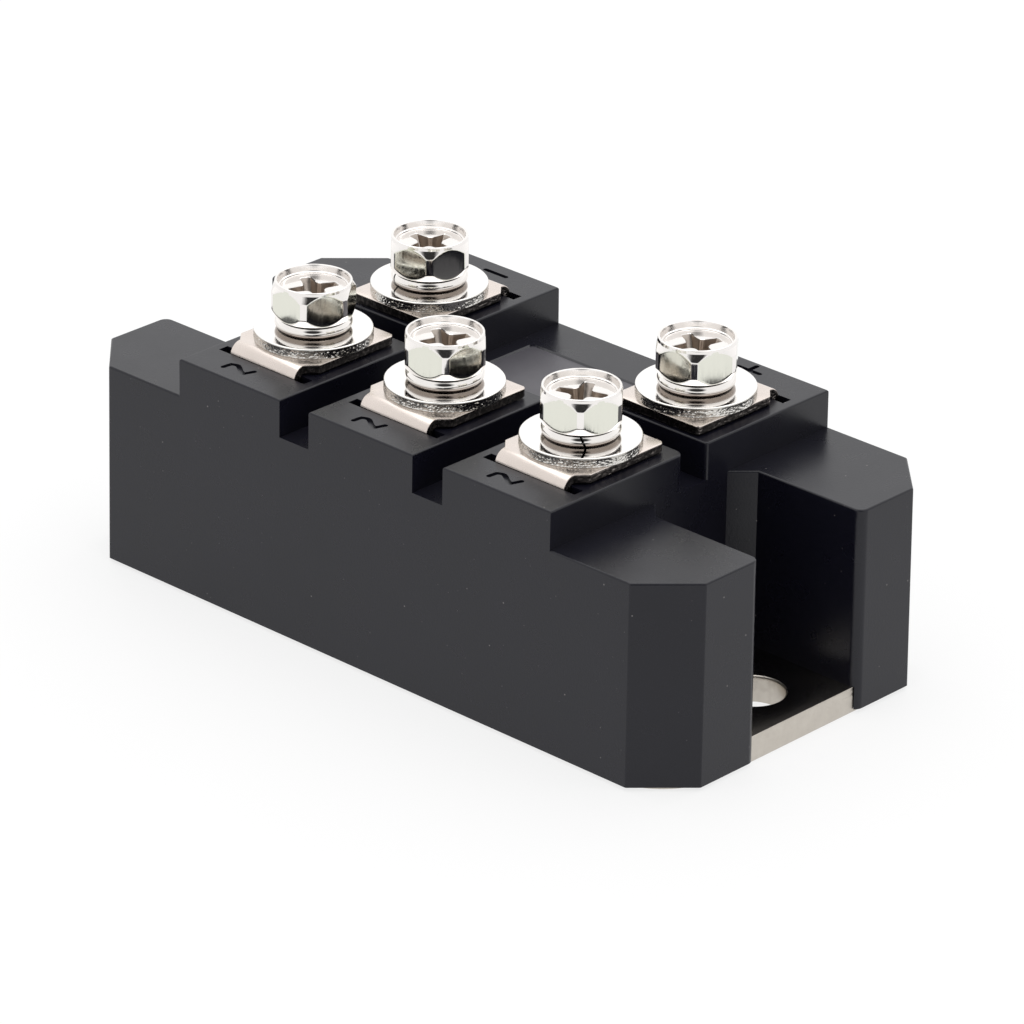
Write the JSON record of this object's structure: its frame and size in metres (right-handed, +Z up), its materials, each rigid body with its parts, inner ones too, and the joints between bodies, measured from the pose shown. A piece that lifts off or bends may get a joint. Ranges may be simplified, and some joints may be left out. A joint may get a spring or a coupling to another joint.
{
  "type": "three-phase bridge rectifier module",
  "caption": "Power rectifier module: black moulded housing on a metal base plate, screw terminals on raised blocks, open notches over the mounting holes at both ends.",
  "frame": {"origin": "centre of the underside of the base plate", "axes": "+X along the long side, +Y towards the direct-current terminals, +Z up out of the base plate"},
  "size_m": [0.0808, 0.0402, 0.0327],
  "materials": {
    "housing_plastic": "matt black moulded, fine spark-eroded grain",
    "plated_plate": "satin nickel plate over copper",
    "plated_terminal": "nickel plate with sheared edges",
    "plated_washer": "bright nickel plate with a rough sheared rim",
    "plated_spring": "bright nickel plate",
    "plated_screw": "bright nickel plate, flats lightly scratched",
    "plated_nut": "nickel plate",
    "copper": "bare copper",
    "ceramic": "white alumina",
    "silicon": "dark polished silicon",
    "gel": "soft translucent silicone gel"
  },
  "bodies": {
    "root": {"housing": "housing_plastic", "base_plate": "plated_plate", "substrate": "ceramic", "pad_dc_minus": "copper", "pad_dc_plus": "copper", "silicone_gel": "gel", "pad_ac_1": "copper", "jumper_1": "copper", "diode_minus_1": "silicon", "diode_plus_1": "silicon", "pad_ac_2": "copper", "jumper_2": "copper", "diode_minus_2": "silicon", "diode_plus_2": "silicon", "pad_ac_3": "copper", "jumper_3": "copper", "diode_minus_3": "silicon", "diode_plus_3": "silicon", "terminal_ac_1": "plated_terminal", "nut_ac_1": "plated_nut", "flat_washer_ac_1": "plated_washer", "spring_washer_ac_1": "plated_spring", "screw_ac_1": "plated_screw", "terminal_ac_2": "plated_terminal", "nut_ac_2": "plated_nut", "flat_washer_ac_2": "plated_washer", "spring_washer_ac_2": "plated_spring", "screw_ac_2": "plated_screw", "terminal_ac_3": "plated_terminal", "nut_ac_3": "plated_nut", "flat_washer_ac_3": "plated_washer", "spring_washer_ac_3": "plated_spring", "screw_ac_3": "plated_screw", "terminal_dc_minus": "plated_terminal", "nut_dc_minus": "plated_nut", "flat_washer_dc_minus": "plated_washer", "spring_washer_dc_minus": "plated_spring", "screw_dc_minus": "plated_screw", "terminal_dc_plus": "plated_terminal", "nut_dc_plus": "plated_nut", "flat_washer_dc_plus": "plated_washer", "spring_washer_dc_plus": "plated_spring", "screw_dc_plus": "plated_screw"}
  },
  "joints": []
}
